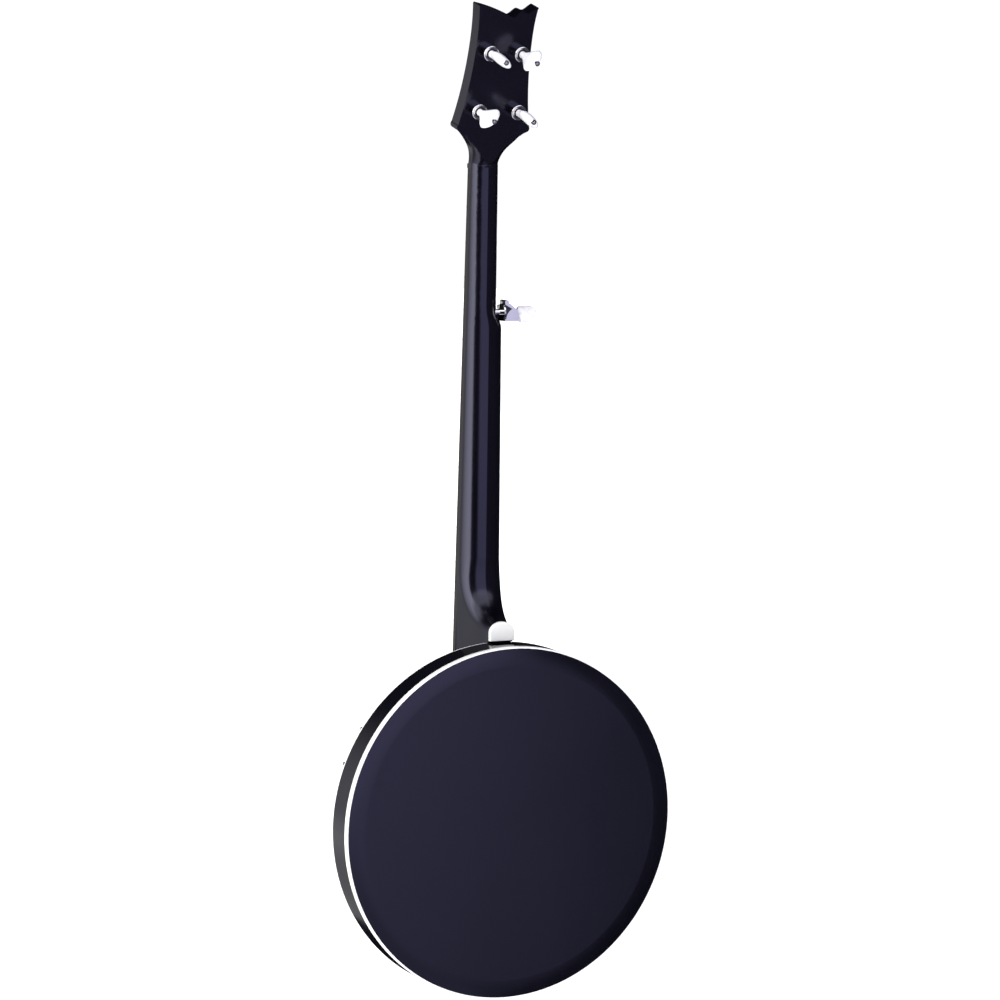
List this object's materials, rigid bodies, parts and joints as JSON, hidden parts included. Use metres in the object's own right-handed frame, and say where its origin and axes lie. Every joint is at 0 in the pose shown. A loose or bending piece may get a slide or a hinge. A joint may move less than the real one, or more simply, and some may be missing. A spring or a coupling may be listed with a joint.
{
  "type": "resonator banjo",
  "caption": "Resonator banjo: round drum-headed body in a shallow bowl, long fretted neck, tilted peghead with geared tuners and a fifth tuner on the side of the neck.",
  "frame": {"origin": "centre of the flat back face of the resonator", "axes": "+Z along the neck towards the peghead, +Y out of the resonator's back, -Y towards the player's strings side, +X to the right seen from the strings"},
  "size_m": [0.349, 0.1037, 0.9703],
  "materials": {
    "neck_lacquer": "satin black lacquer",
    "resonator_lacquer": "satin black lacquer",
    "veneer": "black lacquer",
    "fingerboard_wood": "oiled dark wood",
    "black_plastic": "gloss",
    "pearl": "pearloid",
    "cream_cap": "cream, satin",
    "rim_wood": "clear lacquer",
    "maple": "bare",
    "head_film": "frosted film",
    "tone_ring_bronze": "machined",
    "white_binding": "polished",
    "steel": "turned",
    "aluminium_hoop": "mill finish",
    "fret_wire": "polished",
    "string_steel": "drawn wire",
    "chrome": "polished"
  },
  "bodies": {
    "frame": {"armrest": "chrome", "bridge": "maple", "coordinator_rod_lower": "steel", "coordinator_rod_upper": "steel", "drum_head": "head_film", "fifth_string_nut": "black_plastic", "fifth_tuner_housing": "chrome", "fingerboard": "fingerboard_wood", "flange": "chrome", "flesh_hoop": "aluminium_hoop", "frets": "fret_wire", "heel_cap": "cream_cap", "hook_nuts": "chrome", "neck": "neck_lacquer", "nut": "black_plastic", "peghead_veneer": "veneer", "position_markers": "pearl", "resonator_back": "resonator_lacquer", "resonator_back_binding": "white_binding", "resonator_front_binding": "white_binding", "resonator_lugs": "chrome", "resonator_sidewall": "resonator_lacquer", "rim": "rim_wood", "rod_fasteners": "steel", "string_1": "string_steel", "string_2": "string_steel", "string_3": "string_steel", "string_4": "string_steel", "string_5": "string_steel", "tailpiece": "chrome", "tailpiece_bracket": "chrome", "tension_hooks": "chrome", "tension_hoop": "chrome", "tone_ring": "tone_ring_bronze", "truss_rod": "steel", "truss_rod_cover": "black_plastic", "tuner_1_housing": "chrome", "tuner_2_housing": "chrome", "tuner_3_housing": "chrome", "tuner_4_housing": "chrome", "tuner_bushing_nuts": "chrome"},
    "tuner_1_key": {"tuner_1_shaft": "chrome", "tuner_1_button": "pearl"},
    "tuner_1_post": {"tuner_1_post": "chrome"},
    "tuner_2_key": {"tuner_2_shaft": "chrome", "tuner_2_button": "pearl"},
    "tuner_2_post": {"tuner_2_post": "chrome"},
    "tuner_3_key": {"tuner_3_shaft": "chrome", "tuner_3_button": "pearl"},
    "tuner_3_post": {"tuner_3_post": "chrome"},
    "tuner_4_key": {"tuner_4_shaft": "chrome", "tuner_4_button": "pearl"},
    "tuner_4_post": {"tuner_4_post": "chrome"},
    "fifth_key": {"fifth_tuner_worm": "steel", "fifth_tuner_button": "pearl"},
    "fifth_post": {"fifth_tuner_post": "chrome"},
    "screw_1": {"resonator_screw_1": "chrome"},
    "screw_2": {"resonator_screw_2": "chrome"},
    "screw_3": {"resonator_screw_3": "chrome"},
    "screw_4": {"resonator_screw_4": "chrome"}
  },
  "joints": [
    {"name": "tuner_1_turn", "type": "hinge", "parent": "frame", "child": "tuner_1_key", "pos_m": [0.0222, -0.06517, 0.69212], "axis": [0, 0.9679, -0.2514], "continuous": true},
    {"name": "tuner_1_wind", "type": "hinge", "parent": "frame", "child": "tuner_1_post", "pos_m": [0.0222, -0.06517, 0.69212], "axis": [0, 0.9679, -0.2514], "continuous": true},
    {"name": "tuner_2_turn", "type": "hinge", "parent": "frame", "child": "tuner_2_key", "pos_m": [0.01765, -0.05062, 0.74816], "axis": [0, 0.9679, -0.2514], "continuous": true},
    {"name": "tuner_2_wind", "type": "hinge", "parent": "frame", "child": "tuner_2_post", "pos_m": [0.01765, -0.05062, 0.74816], "axis": [0, 0.9679, -0.2514], "continuous": true},
    {"name": "tuner_3_turn", "type": "hinge", "parent": "frame", "child": "tuner_3_key", "pos_m": [-0.01525, -0.05062, 0.74816], "axis": [0, 0.9679, -0.2514], "continuous": true},
    {"name": "tuner_3_wind", "type": "hinge", "parent": "frame", "child": "tuner_3_post", "pos_m": [-0.01525, -0.05062, 0.74816], "axis": [0, 0.9679, -0.2514], "continuous": true},
    {"name": "tuner_4_turn", "type": "hinge", "parent": "frame", "child": "tuner_4_key", "pos_m": [-0.0198, -0.06517, 0.69212], "axis": [0, 0.9679, -0.2514], "continuous": true},
    {"name": "tuner_4_wind", "type": "hinge", "parent": "frame", "child": "tuner_4_post", "pos_m": [-0.0198, -0.06517, 0.69212], "axis": [0, 0.9679, -0.2514], "continuous": true},
    {"name": "fifth_turn", "type": "hinge", "parent": "frame", "child": "fifth_key", "pos_m": [-0.035, -0.084, 0.4924], "axis": [-1, 0, 0], "continuous": true},
    {"name": "fifth_wind", "type": "hinge", "parent": "frame", "child": "fifth_post", "pos_m": [-0.0242, -0.084, 0.4987], "axis": [0, -1, 0], "continuous": true},
    {"name": "screw_1_turn", "type": "hinge", "parent": "frame", "child": "screw_1", "pos_m": [0.11804, -0.039, 0.10875], "axis": [0, -1, 0], "continuous": true},
    {"name": "screw_2_turn", "type": "hinge", "parent": "frame", "child": "screw_2", "pos_m": [0.11193, -0.039, -0.11503], "axis": [0, -1, 0], "continuous": true},
    {"name": "screw_3_turn", "type": "hinge", "parent": "frame", "child": "screw_3", "pos_m": [-0.11193, -0.039, -0.11503], "axis": [0, -1, 0], "continuous": true},
    {"name": "screw_4_turn", "type": "hinge", "parent": "frame", "child": "screw_4", "pos_m": [-0.11804, -0.039, 0.10875], "axis": [0, -1, 0], "continuous": true}
  ],
  "couplings": [
    {"joint": "tuner_1_wind", "follows": "tuner_1_turn", "ratio": 0.25},
    {"joint": "tuner_2_wind", "follows": "tuner_2_turn", "ratio": 0.25},
    {"joint": "tuner_3_wind", "follows": "tuner_3_turn", "ratio": 0.25},
    {"joint": "tuner_4_wind", "follows": "tuner_4_turn", "ratio": 0.25},
    {"joint": "fifth_wind", "follows": "fifth_turn", "ratio": 0.083333}
  ]
}
